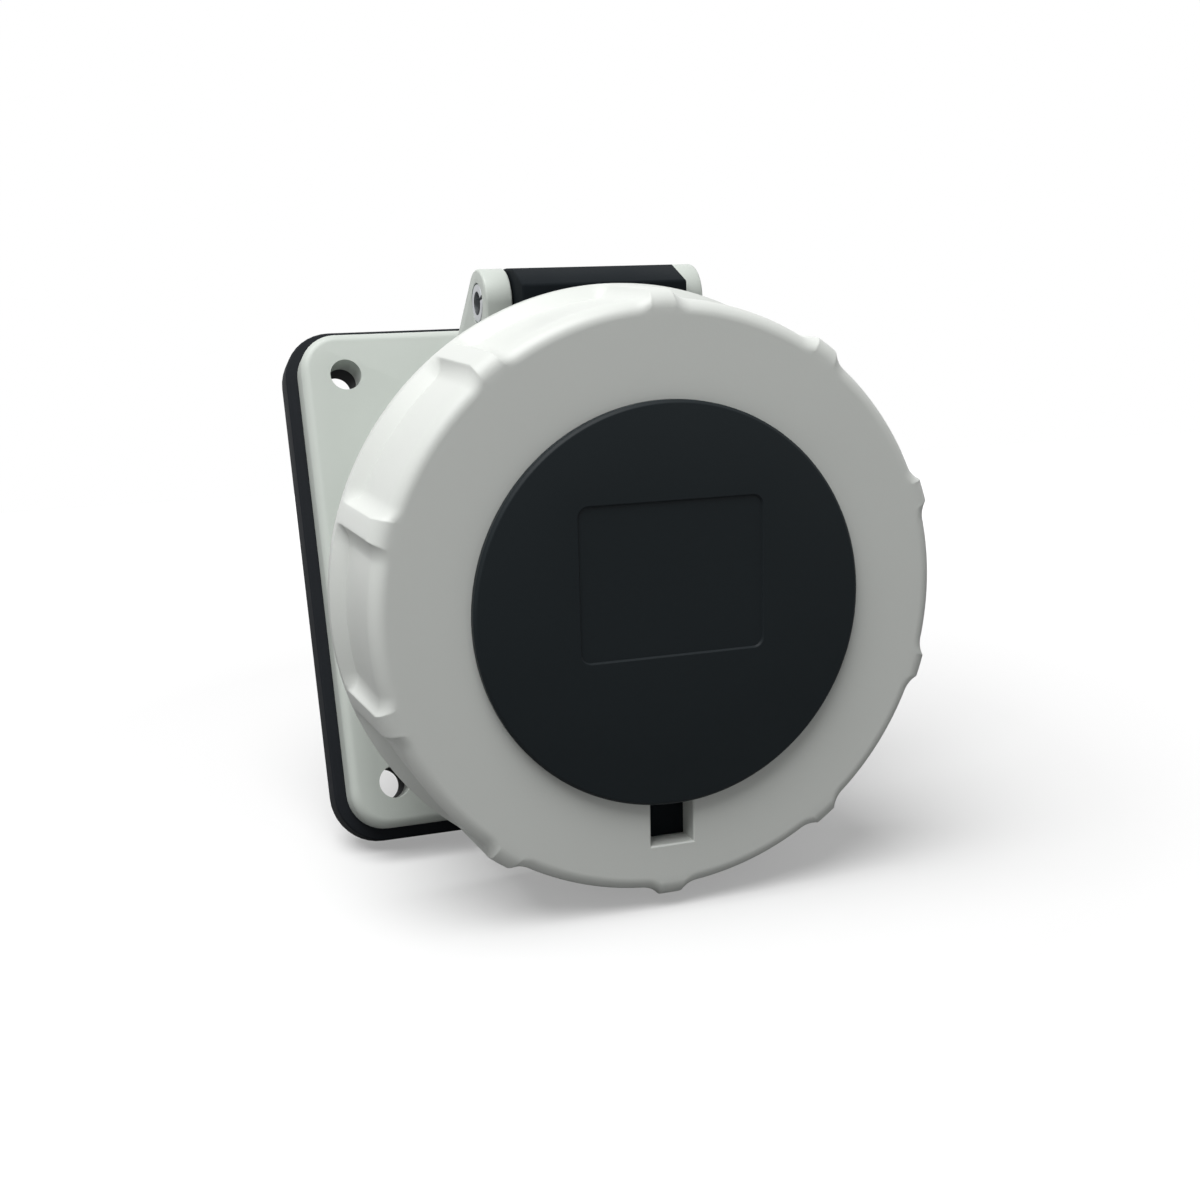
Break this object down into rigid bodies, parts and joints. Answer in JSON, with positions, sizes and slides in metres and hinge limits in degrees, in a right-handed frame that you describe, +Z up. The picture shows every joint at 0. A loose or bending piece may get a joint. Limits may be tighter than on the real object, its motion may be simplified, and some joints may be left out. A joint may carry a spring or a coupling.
{
  "type": "angled industrial panel socket",
  "caption": "Square flanged power socket that leans down at the front, with a hinged round lid, a ribbed bayonet locking ring and round contacts inside.",
  "frame": {"origin": "centre of the gasket's back face, which lies on the panel", "axes": "+Z up along the panel, -Y out of the panel's front, +X to the right seen from the front; the socket axis leans 20 degrees down at the front"},
  "size_m": [0.1112, 0.1297, 0.1217],
  "materials": {
    "grey_plastic": "satin moulded",
    "ring_plastic": "satin moulded",
    "black_plastic": "satin moulded",
    "disc_plastic": "fine satin",
    "gasket_rubber": "smooth",
    "seal_rubber": "smooth",
    "insert_plastic": "moulded",
    "contact_brass": "nickel plated",
    "steel": "zinc plated"
  },
  "bodies": {
    "housing": {"flange_housing": "grey_plastic", "flange_gasket": "gasket_rubber", "hinge_pin": "steel", "contact_carrier": "insert_plastic", "carrier_seal": "seal_rubber", "terminal_block": "insert_plastic", "carrier_screws": "steel", "terminal_screws": "steel", "pilot_screw": "steel", "contact_l1": "contact_brass", "contact_l2": "contact_brass", "contact_l3": "contact_brass", "contact_neutral": "contact_brass", "contact_earth": "contact_brass", "contact_pilot": "contact_brass", "spring_l1": "steel", "spring_l2": "steel", "spring_l3": "steel", "spring_neutral": "steel", "spring_earth": "steel", "spring_pilot": "steel"},
    "lid": {"lid_body": "black_plastic", "lid_disc": "disc_plastic", "lid_seal": "seal_rubber"},
    "ring": {"locking_ring": "ring_plastic"}
  },
  "joints": [
    {"name": "lid_hinge", "type": "hinge", "parent": "housing", "child": "lid", "pos_m": [0, -0.0467, 0.04415], "axis": [-1, 0, 0], "range_deg": [0, 120]},
    {"name": "ring_turn", "type": "hinge", "parent": "lid", "child": "ring", "pos_m": [0, -0.06879, -0.01944], "axis": [0, 0.9397, 0.342], "range_deg": [0, 35]}
  ]
}
